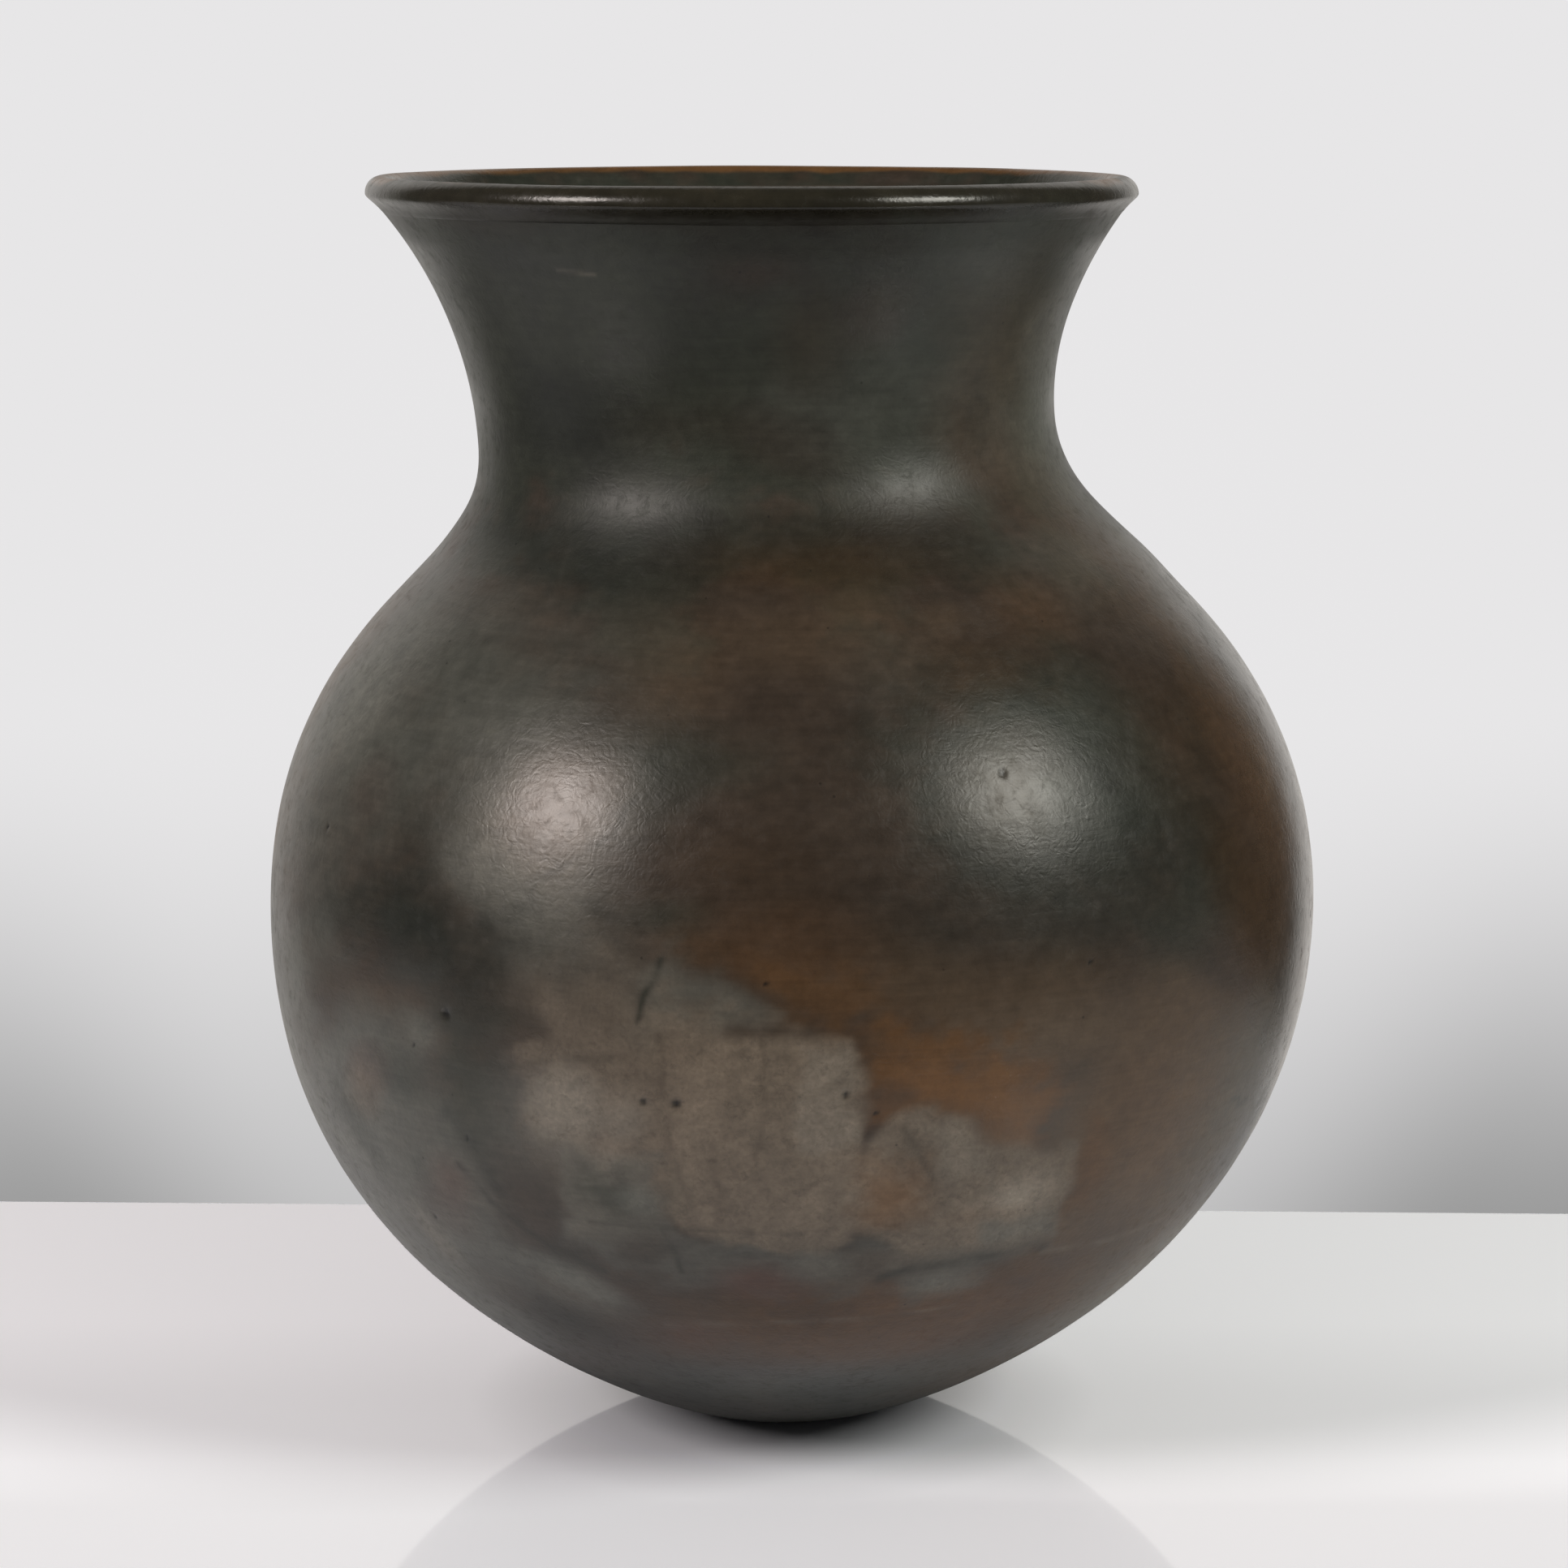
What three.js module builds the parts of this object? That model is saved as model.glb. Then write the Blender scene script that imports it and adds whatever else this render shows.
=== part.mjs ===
// Round-bottomed ceramic vessel, hand-built in nine courses, burnished and smoke-fired.
// Millimetres, +Z up. The origin is the middle of the small resting flat, and -Y is the front.
// The wall is one revolved curve in five stretches. Each course is a closed ring of that wall, lapped on to
// the inside of the course below along a bevel, so its lower seam is higher outside than inside.
import * as THREE from 'three';

// Height of each stretch of the wall, from the one below it up to its own top.
const BASE_HEIGHT = 50;
const BELLY_HEIGHT = 76;
const SHOULDER_HEIGHT = 77;
const NECK_HEIGHT = 40;
const MOUTH_HEIGHT = 48.5;
const LIP_HEIGHT = 8.5;

// Outside radius at the resting flat and at the top of each stretch.
const FOOT_RADIUS = 18;
const BASE_RADIUS = 99;
const BELLY_RADIUS = 126;
const SHOULDER_RADIUS = 93.5;
const WAIST_RADIUS = 69;
const MOUTH_RADIUS = 87;

// Slope of the outside there, in degrees from level outwards. The belly and the waist stand upright.
const BASE_SLOPE = 51;
const SHOULDER_SLOPE = 133;
const MOUTH_SLOPE = 53;
const UPRIGHT = 90;

// How far the outside holds its slope below each of those places (tail) and above it (lead).
const FOOT_LEAD = 12;
const BASE_TAIL = 38;
const BASE_LEAD = 16;
const BELLY_TAIL = 40;
const BELLY_LEAD = 46;
const SHOULDER_TAIL = 10;
const SHOULDER_LEAD = 25;
const WAIST_TAIL = 17;
const WAIST_LEAD = 10;
const MOUTH_TAIL = 25;

// Wall thickness, square to the outside. The floor is left thickest, as a moulded base is.
const FLOOR_WALL = 8;
const BASE_WALL = 7;
const BELLY_WALL = 5.5;
const SHOULDER_WALL = 5.5;
const WAIST_WALL = 6;
const MOUTH_WALL = 6;

// Length of the bevelled laps, along the wall.
const COURSE_LAP = 10;
const LIP_LAP = 7;

// Rolled lip: a nearly sharp lower edge that stands out past the mouth, then a quarter round up to the crest.
const LIP_OVERHANG = 4;
const LIP_ROUND = 4;
const LIP_EDGE_LEAD = 1;
const LIP_UNDERSIDE_LEAD = 3.5;
const LIP_CREST_LEAD = 1.8;
const LIP_THROAT_LEAD = 3;

// Sideways shift of the centre line, + to the right of the front. The neck was set on a little to the left.
const BASE_SHIFT = 0.3;
const BELLY_SHIFT = 1.8;
const SHOULDER_SHIFT = 1.9;
const NECK_ROOT_RISE = 11; // the neck keeps to the shoulder's centre up to here
const NECK_ROOT_SHIFT = 1.6;
const WAIST_SHIFT = -4.4;
const MOUTH_SHIFT = -7.3;
const LIP_SHIFT = -7.7;

// Fineness of the surfaces.
const TURN_STEPS = 72;
const WALL_STEP = 13; // longest step along a wall
const LIP_STEP = 2.2; // longest step round the lip

// Heights above the resting flat.
const baseTop = BASE_HEIGHT;
const bellyTop = baseTop + BELLY_HEIGHT;
const shoulderTop = bellyTop + SHOULDER_HEIGHT;
const neckTop = shoulderTop + NECK_HEIGHT;
const mouthTop = neckTop + MOUTH_HEIGHT;
const lipTop = mouthTop + LIP_HEIGHT;

// The stations between the stretches: where the outside lies, its slope and handles, and the wall there.
const stations = [
  { radius: FOOT_RADIUS, height: 0, slope: 0, lead: FOOT_LEAD, wall: FLOOR_WALL },
  {
    radius: BASE_RADIUS,
    height: baseTop,
    slope: BASE_SLOPE,
    tail: BASE_TAIL,
    lead: BASE_LEAD,
    wall: BASE_WALL,
  },
  {
    radius: BELLY_RADIUS,
    height: bellyTop,
    slope: UPRIGHT,
    tail: BELLY_TAIL,
    lead: BELLY_LEAD,
    wall: BELLY_WALL,
  },
  {
    radius: SHOULDER_RADIUS,
    height: shoulderTop,
    slope: SHOULDER_SLOPE,
    tail: SHOULDER_TAIL,
    lead: SHOULDER_LEAD,
    wall: SHOULDER_WALL,
  },
  {
    radius: WAIST_RADIUS,
    height: neckTop,
    slope: UPRIGHT,
    tail: WAIST_TAIL,
    lead: WAIST_LEAD,
    wall: WAIST_WALL,
  },
  { radius: MOUTH_RADIUS, height: mouthTop, slope: MOUTH_SLOPE, tail: MOUTH_TAIL, wall: MOUTH_WALL },
];

// The courses in each stretch from the bottom up, which share its wall equally.
const coursesByStretch = [
  ['base'],
  ['lower_belly', 'girth'],
  ['lower_shoulder', 'upper_shoulder'],
  ['neck'],
  ['throat', 'mouth'],
];

// Each course's colour where it shows most: ash and brown low down, smoke black above.
const colours = {
  base: '#4a4035',
  lower_belly: '#665a4e',
  girth: '#4b3926',
  lower_shoulder: '#3a312b',
  upper_shoulder: '#3c3125',
  neck: '#352f28',
  throat: '#33342e',
  mouth: '#33342e',
  lip: '#2c2924',
};
const BURNISHED_ROUGHNESS = 0.4;

// A point in the profile plane: x is the radius and y is the height.
const point = (radius, height) => new THREE.Vector2(radius, height);

// The direction of a slope in the profile plane.
function direction(slope) {
  const angle = THREE.MathUtils.degToRad(slope);
  return point(Math.cos(angle), Math.sin(angle));
}

// The outside curve from one station to the next, which leaves and arrives along their slopes.
function outsideCurve(lower, upper) {
  const start = point(lower.radius, lower.height);
  const end = point(upper.radius, upper.height);
  const leaving = start.clone().addScaledVector(direction(lower.slope), lower.lead);
  const arriving = end.clone().addScaledVector(direction(upper.slope), -upper.tail);
  return new THREE.CubicBezierCurve(start, leaving, arriving, end);
}

// The stretches of wall, each with where it starts along the outside and how long it is there.
const stretches = [];
let wallLength = 0;
for (let i = 1; i < stations.length; i += 1) {
  const [lower, upper] = [stations[i - 1], stations[i]];
  const curve = outsideCurve(lower, upper);
  const length = curve.getLength();
  stretches.push({ curve, start: wallLength, length, wallBelow: lower.wall, wallAbove: upper.wall });
  wallLength += length;
}

// The stretch at a distance along the wall, and the share of it that lies below.
function locate(distance) {
  const stretch = stretches.findLast(({ start }) => start <= distance);
  return { stretch, share: Math.min(1, (distance - stretch.start) / stretch.length) };
}

function outsidePoint(distance) {
  const { stretch, share } = locate(distance);
  return stretch.curve.getPointAt(share);
}

// The inside, square in from the outside by the wall there.
function insidePoint(distance) {
  const { stretch, share } = locate(distance);
  const outside = stretch.curve.getPointAt(share);
  const along = stretch.curve.getTangentAt(share);
  const wall = THREE.MathUtils.lerp(stretch.wallBelow, stretch.wallAbove, share);
  return point(outside.x - along.y * wall, outside.y + along.x * wall);
}

// Points strictly between two distances along the wall.
function between(from, to, pointAt) {
  const steps = Math.max(2, Math.ceil(Math.abs(to - from) / WALL_STEP));
  const stops = Array.from({ length: steps - 1 }, (_, i) => THREE.MathUtils.lerp(from, to, (i + 1) / steps));
  return stops.map(pointAt);
}

// The bevelled joint at a distance along the wall. The course above reaches down inside to its inner edge.
function bevel(top, lap) {
  const bottom = top - lap;
  return { top, bottom, outer: outsidePoint(top), inner: insidePoint(bottom) };
}

// The courses below the lip, each with the joint at its top.
const courses = stretches.flatMap(({ start, length }, index) => {
  const names = coursesByStretch[index];
  return names.map((name, i) => ({ name, end: start + (length * (i + 1)) / names.length }));
});
const joints = courses.map(({ end }, i) => bevel(end, i === courses.length - 1 ? LIP_LAP : COURSE_LAP));

// Base: the resting flat, the outside, the bevel, the inside and the level floor.
function baseProfile() {
  const above = joints[0];
  return [
    point(0, 0),
    outsidePoint(0),
    ...between(0, above.top, outsidePoint),
    above.outer,
    above.inner,
    ...between(above.bottom, 0, insidePoint),
    insidePoint(0),
    point(0, FLOOR_WALL),
  ];
}

// A course in the wall: a closed ring of outside, upper bevel, inside and the lower bevel back to its start.
function courseProfile(below, above) {
  return [
    below.outer,
    ...between(below.top, above.top, outsidePoint),
    above.outer,
    above.inner,
    ...between(above.bottom, below.bottom, insidePoint),
    below.inner,
    below.outer,
  ];
}

// Lip: underside to the lower edge, quarter round to the crest, over into the throat and down its lap.
function lipProfile(below) {
  const slope = direction(MOUTH_SLOPE);
  const throat = insidePoint(below.top);
  const edge = point(MOUTH_RADIUS + LIP_OVERHANG, lipTop - LIP_ROUND);
  const crest = point(edge.x - LIP_ROUND, lipTop);
  const underside = new THREE.CubicBezierCurve(
    below.outer,
    below.outer.clone().addScaledVector(slope, LIP_UNDERSIDE_LEAD),
    point(edge.x, edge.y - LIP_EDGE_LEAD),
    edge,
  );
  const round = new THREE.EllipseCurve(crest.x, edge.y, LIP_ROUND, LIP_ROUND, 0, Math.PI / 2);
  const over = new THREE.CubicBezierCurve(
    crest,
    point(crest.x - LIP_CREST_LEAD, crest.y),
    throat.clone().addScaledVector(slope, LIP_THROAT_LEAD),
    throat,
  );
  const outline = [underside, round, over].flatMap((curve) => {
    const steps = Math.ceil(curve.getLength() / LIP_STEP);
    return curve.getSpacedPoints(steps).slice(1);
  });
  const lap = between(below.top, below.bottom, insidePoint);
  return [below.outer, ...outline, ...lap, below.inner, below.outer];
}

// The centre line's sideways shift by height, smooth through the stations.
const shiftByHeight = new THREE.CubicInterpolant(
  [0, baseTop, bellyTop, shoulderTop, shoulderTop + NECK_ROOT_RISE, neckTop, mouthTop, lipTop],
  [0, BASE_SHIFT, BELLY_SHIFT, SHOULDER_SHIFT, NECK_ROOT_SHIFT, WAIST_SHIFT, MOUTH_SHIFT, LIP_SHIFT],
  1,
);

// A course's solid: its profile turned once round and stood on +Z, each level ring moved by the shift there.
function courseGeometry(profile) {
  const geometry = new THREE.LatheGeometry(profile, TURN_STEPS).rotateX(Math.PI / 2);
  const position = geometry.getAttribute('position');
  for (let i = 0; i < position.count; i += 1) {
    const [shift] = shiftByHeight.evaluate(position.getZ(i));
    position.setX(i, position.getX(i) + shift);
  }
  geometry.computeVertexNormals();
  return geometry;
}

const vessel = new THREE.Group();

function addCourse(name, profile) {
  const finish = { color: colours[name], roughness: BURNISHED_ROUGHNESS, metalness: 0 };
  const course = new THREE.Mesh(courseGeometry(profile), new THREE.MeshStandardMaterial(finish));
  course.name = name;
  vessel.add(course);
}

addCourse(courses[0].name, baseProfile());
for (let i = 1; i < courses.length; i += 1) {
  addCourse(courses[i].name, courseProfile(joints[i - 1], joints[i]));
}
addCourse('lip', lipProfile(joints.at(-1)));

export default vessel;
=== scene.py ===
# Hand-built clay vessel, burnished and smoke-fired: nine lapped courses that stand for one fired body.
import math

import bpy
import numpy as np
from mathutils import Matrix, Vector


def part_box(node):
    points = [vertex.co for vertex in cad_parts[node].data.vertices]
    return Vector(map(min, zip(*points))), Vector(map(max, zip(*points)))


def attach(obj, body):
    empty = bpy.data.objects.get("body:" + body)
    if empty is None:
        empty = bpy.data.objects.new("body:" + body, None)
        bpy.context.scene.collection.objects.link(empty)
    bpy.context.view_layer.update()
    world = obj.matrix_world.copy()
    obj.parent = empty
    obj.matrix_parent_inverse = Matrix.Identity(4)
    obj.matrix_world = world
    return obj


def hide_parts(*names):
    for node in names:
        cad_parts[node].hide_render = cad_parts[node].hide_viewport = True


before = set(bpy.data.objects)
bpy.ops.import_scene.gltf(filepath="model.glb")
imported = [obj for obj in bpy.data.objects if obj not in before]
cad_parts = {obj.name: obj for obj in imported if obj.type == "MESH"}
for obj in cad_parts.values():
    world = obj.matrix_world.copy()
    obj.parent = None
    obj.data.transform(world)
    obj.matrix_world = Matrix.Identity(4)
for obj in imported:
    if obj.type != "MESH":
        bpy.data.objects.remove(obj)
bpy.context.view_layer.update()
mm = 0.001
print("frame loaded:", len(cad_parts), "courses")

# The stations between the five stretches of wall, from the foot to the mouth. Sizes in mm, slopes in degrees
# from level outwards. The heights come from the frame.
wall = {
    "radius": [18, 99, 126, 93.5, 69, 87],
    "slope": [0, 51, 90, 133, 90, 53],
    "lead": [12, 16, 46, 25, 10],  # how far the outside holds its slope above a station
    "tail": [38, 40, 10, 17, 25],  # and below the next one
    "thickness": [8, 7, 5.5, 5.5, 6, 6],
    "tops": ["base", "girth", "upper_shoulder", "neck", "mouth"],  # the course that ends each stretch
    "shift": [0, 0.3, 1.8, 1.9, 1.6, -4.4, -7.3, -7.7],  # sideways shift of the centre line by height
    "neckRootRise": 11,  # the neck keeps to the shoulder's centre up to here
}
courses = {  # lengths in mm
    "stretches": [["base"], ["lower_belly", "girth"], ["lower_shoulder", "upper_shoulder"], ["neck"],
                  ["throat", "mouth"]],
    "lap": 10,
    "lipLap": 7,
    "columns": 1200,
    "outsideStep": 0.8,
    "baseStep": 1.9,
    "insideStep": 5,
    "bevelSteps": 3,
    "footRings": [2.0, 6.0, 11.0, 15.0],
    "slots": {"smoked_brown_clay": ["base", "lower_belly", "girth", "lower_shoulder", "upper_shoulder"],
              "smoked_black_clay": ["neck", "throat", "mouth", "lip"]},
}
lip = {
    "overhang": 4,
    "round": 4,
    "edgeLead": 1,
    "undersideLead": 3.5,
    "crestLead": 1.8,
    "throatLead": 3,
    "turnSteps": 16,
    "rollSteps": 14,
    "waviness": 0.25,
    "waveLength": 70,
    "waveRadius": 88,
    "blend": (0.25, 0.7),  # how much of the section takes up the wall's own unevenness, at either end
}


def bezier(corners, t):
    # a cubic Bezier: the corners weighted by (1-t)^3, 3t(1-t)^2, 3t^2(1-t) and t^3
    weights = np.stack([(1 - t) ** 3, 3 * t * (1 - t) ** 2, 3 * t ** 2 * (1 - t), t ** 3], 1)
    return weights @ np.array(corners, float)


def slopeDirection(degrees):
    return np.array([math.cos(math.radians(degrees)), math.sin(math.radians(degrees))])


def tabulateWall():
    # radius, height, slope and thickness of the wall against distance along its outside, in mm
    heights = [0] + [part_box(name)[1].z / mm for name in wall["tops"]]
    radius, height, thickness, distance, starts = [], [], [], [], [0]
    t = np.linspace(0, 1, 3001)
    for i in range(5):
        start = np.array([wall["radius"][i], heights[i]])
        end = np.array([wall["radius"][i + 1], heights[i + 1]])
        leaving = start + wall["lead"][i] * slopeDirection(wall["slope"][i])
        arriving = end - wall["tail"][i] * slopeDirection(wall["slope"][i + 1])
        points = bezier([start, leaving, arriving, end], t)
        along = np.concatenate([[0], np.cumsum(np.hypot(*np.diff(points, axis=0).T))])
        radius.append(points[:, 0])
        height.append(points[:, 1])
        distance.append(starts[-1] + along)
        thickness.append(np.interp(along / along[-1], [0, 1], wall["thickness"][i:i + 2]))
        starts.append(starts[-1] + along[-1])
    table = {"distance": np.concatenate(distance), "radius": np.concatenate(radius),
             "height": np.concatenate(height), "thickness": np.concatenate(thickness)}
    keep = np.concatenate([[True], np.diff(table["distance"]) > 0])
    table = {key: values[keep] for key, values in table.items()}
    table["slope"] = np.unwrap(np.arctan2(np.gradient(table["height"]), np.gradient(table["radius"])))
    table["starts"] = starts
    table["stations"] = heights
    return table


wallTable = tabulateWall()
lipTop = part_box("lip")[1].z / mm


def centreShift(height):
    # a smooth cubic through the shifts, with each slope taken from the points on both sides
    at = np.array(wallTable["stations"][:4] + [wallTable["stations"][3] + wall["neckRootRise"]]
                  + wallTable["stations"][4:] + [lipTop])
    shift = np.array(wall["shift"], float)
    slope = np.gradient(shift)
    slope[1:-1] = (shift[2:] - shift[:-2]) / (at[2:] - at[:-2])
    slope[0] = (shift[1] - shift[0]) / (at[1] - at[0])
    slope[-1] = (shift[-1] - shift[-2]) / (at[-1] - at[-2])
    i = np.clip(np.searchsorted(at, height) - 1, 0, len(at) - 2)
    gap = at[i + 1] - at[i]
    t = np.clip((height - at[i]) / gap, 0, 1)
    return ((2 * t ** 3 - 3 * t ** 2 + 1) * shift[i] + (t ** 3 - 2 * t ** 2 + t) * gap * slope[i]
            + (3 * t ** 2 - 2 * t ** 3) * shift[i + 1] + (t ** 3 - t ** 2) * gap * slope[i + 1])


def fromWall(key, distance):
    return np.interp(distance, wallTable["distance"], wallTable[key])


def smoothStep(low, high, value):
    t = np.clip((value - low) / (high - low), 0, 1)
    return t * t * (3 - 2 * t)


def softNoise(points, wavelength, seed, waves=28):
    # the sum of cosine waves of about one wavelength that run in random directions, with a mean square of 1
    draw = np.random.default_rng(seed)
    run = draw.normal(size=(waves, 3))
    run /= np.linalg.norm(run, axis=1)[:, None]
    run *= 2 * math.pi / wavelength * draw.uniform(0.75, 1.35, (waves, 1))
    phase = draw.uniform(0, 2 * math.pi, waves)
    total = np.zeros(points.shape[:-1])
    for wave in range(waves):
        total += np.cos(points @ run[wave] + phase[wave])
    return total * math.sqrt(2 / waves)


def standPoints(radius, height, azimuth):
    # azimuth 0 is the front, -Y, and it grows to the right; each level ring moves with the centre line
    radius, height, azimuth = np.broadcast_arrays(radius, height, azimuth)
    return np.stack([centreShift(height) + radius * np.sin(azimuth), -radius * np.cos(azimuth), height], -1)


# Small damage and tool marks that are real hollows: azimuth in degrees, height, radius and depth in mm.
pits = [
    (23.3, 175.2, 0.8, 0.35), (-37.2, 120.6, 1.15, 0.6), (-14.8, 106, 0.8, 0.3), (-11.4, 106, 1.1, 0.3),
    (5.4, 108.4, 0.7, 0.3), (-42, 112, 0.5, 0.25), (8.5, 104, 0.5, 0.25), (-46, 68, 0.6, 0.3),
    (31, 134, 0.5, 0.25), (-60, 155, 0.6, 0.25), (-2.6, 133, 0.5, 0.25), (-36, 92, 0.6, 0.3),
    (96, 150, 0.7, 0.4), (121, 88, 0.9, 0.4), (158, 171, 0.8, 0.5), (-172, 112, 0.9, 0.5),
    (-139, 141, 0.7, 0.4), (-104, 95, 0.8, 0.5), (175, 64, 0.7, 0.3), (-120, 186, 0.6, 0.3),
    (140, 240, 0.6, 0.3), (-90, 262, 0.6, 0.3), (77, 128, 0.6, 0.3), (-80, 70, 0.8, 0.4),
]
handwork = {
    "swell": 0.32,  # broad unevenness of a wall built by eye
    "swellLength": 95,
    "press": 0.05,  # finger and rib presses
    "pressLength": 17,
    "flat": (2, 22),  # there is none on the resting flat, and all of it from 22 mm out
    "scrape": 0.22,  # ridges left inside by the scraper
    "scrapeStep": 9,
}


def wrapDegrees(angle):
    return (angle + 180) % 360 - 180


def outsideSink(azimuth, distance):
    # how far the outside lies inside its true curve: broad swells, small presses and the pits
    radius = fromWall("radius", distance)
    height = fromWall("height", distance)
    points = standPoints(radius, height, azimuth)
    swell = 0.5 + 0.5 * np.tanh(0.9 * softNoise(points, handwork["swellLength"], 11))
    press = 0.5 + 0.5 * np.tanh(0.9 * softNoise(points, handwork["pressLength"], 12))
    sink = handwork["swell"] * swell + handwork["press"] * press
    for pitAzimuth, pitHeight, pitRadius, depth in pits:
        across = np.radians(wrapDegrees(np.degrees(azimuth) - pitAzimuth)) * radius
        along = distance - np.interp(pitHeight, wallTable["height"], wallTable["distance"])
        sink += depth * np.exp(-(across ** 2 + along ** 2) / pitRadius ** 2)
    return sink * smoothStep(*handwork["flat"], distance)


def insideSink(azimuth, distance):
    # how far the inside lies out from its true curve: level scraper ridges, which waver and fade in places
    points = standPoints(fromWall("radius", distance), fromWall("height", distance), azimuth)
    turn = distance * 2 * math.pi / handwork["scrapeStep"] + 1.5 * softNoise(points, 60, 21)
    ridges = 0.5 + 0.5 * np.cos(turn)
    return handwork["scrape"] * ridges * (0.6 + 0.4 * np.tanh(softNoise(points, 30, 22)))


def wallPoint(azimuth, distance, inside):
    # outside: the curve less its sink; inside: the curve less the thickness, plus the inner sink
    slope = fromWall("slope", distance)
    if inside:
        inward = fromWall("thickness", distance) - insideSink(azimuth, distance)
    else:
        inward = outsideSink(azimuth, distance)
    return (fromWall("radius", distance) - inward * np.sin(slope),
            fromWall("height", distance) + inward * np.cos(slope))


def steps(start, end, step):
    count = max(2, math.ceil(abs(end - start) / step))
    return np.linspace(start, end, count + 1)


def bevelRows(start, end):
    # the flat joint face between two rings, straight from one to the other
    t = np.linspace(0, 1, courses["bevelSteps"] + 1)[1:-1, None]
    return start[0] * (1 - t) + end[0] * t, start[1] * (1 - t) + end[1] * t


azimuth = np.linspace(0, 2 * math.pi, courses["columns"], endpoint=False)[None, :]


def joinRows(parts):
    # stacks the rings of each part; kind is 0 outside, 1 inside and 2 on a joint face
    radius = np.concatenate([np.broadcast_to(part[0], (part[0].shape[0], azimuth.size)) for part in parts])
    height = np.concatenate([np.broadcast_to(part[1], (part[1].shape[0], azimuth.size)) for part in parts])
    kind = np.concatenate([np.full(part[0].shape[0], part[2]) for part in parts])
    return radius, height, kind


def courseRows(low, high, lapBelow, lapAbove):
    # up the outside, across the upper joint face, down the inside and across the lower one
    outside = wallPoint(azimuth, steps(low, high, courses["outsideStep"])[:, None], False)
    inside = wallPoint(azimuth, steps(high - lapAbove, low - lapBelow, courses["insideStep"])[:, None], True)
    upper = bevelRows((outside[0][-1:], outside[1][-1:]), (inside[0][:1], inside[1][:1]))
    lower = bevelRows((inside[0][-1:], inside[1][-1:]), (outside[0][:1], outside[1][:1]))
    return joinRows([(*outside, 0), (*upper, 2), (*inside, 1), (*lower, 2)])


def baseRows(high, lapAbove):
    # the resting flat from its middle, then the outside, the joint face, the inside and the level floor
    flat = np.array(courses["footRings"])[:, None]
    outside = wallPoint(azimuth, steps(0, high, courses["baseStep"])[:, None], False)
    inside = wallPoint(azimuth, steps(high - lapAbove, 0, courses["insideStep"])[:, None], True)
    floor = flat[::-1]
    floorHeight = wall["thickness"][0] - insideSink(azimuth, np.zeros((1, 1)))
    upper = bevelRows((outside[0][-1:], outside[1][-1:]), (inside[0][:1], inside[1][:1]))
    return joinRows([(flat, flat * 0, 0), (*outside, 0), (*upper, 2), (*inside, 1),
                     (floor, floor * 0 + floorHeight, 1)])


def lipRows(low):
    # the underside, a quarter round, the roll into the throat, and the lap down inside the mouth
    slope = slopeDirection(wall["slope"][-1])
    outer = np.array([fromWall("radius", low), fromWall("height", low)])
    throat = outer + fromWall("thickness", low) * np.array([-slope[1], slope[0]])
    edge = np.array([wall["radius"][-1] + lip["overhang"], lipTop - lip["round"]])
    crest = np.array([edge[0] - lip["round"], lipTop])
    turn = np.linspace(0, math.pi / 2, lip["turnSteps"] + 1)
    t = np.linspace(0, 1, lip["rollSteps"] + 1)
    rolls = [
        bezier([outer, outer + lip["undersideLead"] * slope, edge - [0, lip["edgeLead"]], edge], t),
        np.stack([crest[0] + lip["round"] * np.cos(turn), edge[1] + lip["round"] * np.sin(turn)], 1)[1:],
        bezier([crest, crest - [lip["crestLead"], 0], throat + lip["throatLead"] * slope, throat], t)[1:],
    ]
    outline = np.concatenate(rolls)
    t = np.linspace(0, 1, len(outline))[:, None]
    ring = standPoints(float(lip["waveRadius"]), lipTop, azimuth)
    wave = lip["waviness"] * (0.5 + 0.5 * np.tanh(softNoise(ring, lip["waveLength"], 31)))
    seamOut = outsideSink(azimuth, np.full((1, 1), low))
    seamIn = insideSink(azimuth, np.full((1, 1), low))
    first, last = lip["blend"]
    sink = seamOut * (1 - smoothStep(0, first, t))
    sink = sink + wave * smoothStep(0, 0.3, t) * (1 - smoothStep(last, 1, t))
    swell = seamIn * smoothStep(last, 1, t)
    radius = outline[:, :1] - sink * 0.8 + swell * slope[1]
    height = outline[:, 1:] - sink * 0.6 - swell * slope[0]
    inside = wallPoint(azimuth, steps(low, low - courses["lipLap"], courses["insideStep"])[1:, None], True)
    radius[:1], height[:1] = wallPoint(azimuth, np.full((1, 1), low), False)
    radius[-1:], height[-1:] = wallPoint(azimuth, np.full((1, 1), low), True)
    lower = bevelRows((inside[0][-1:], inside[1][-1:]), (radius[:1], height[:1]))
    return joinRows([(radius, height, 0), (*inside, 1), (*lower, 2)])


def ringFaces(rows, columns, closed):
    # one quad for each cell of the grid; the columns always close, and the rows where the section is a loop
    i = np.arange(rows if closed else rows - 1)[:, None]
    j = np.arange(columns)[None, :]
    nextRow = (i + 1) % rows
    nextColumn = (j + 1) % columns
    return np.stack([i * columns + j, i * columns + nextColumn, nextRow * columns + nextColumn,
                     nextRow * columns + j], -1)


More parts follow.
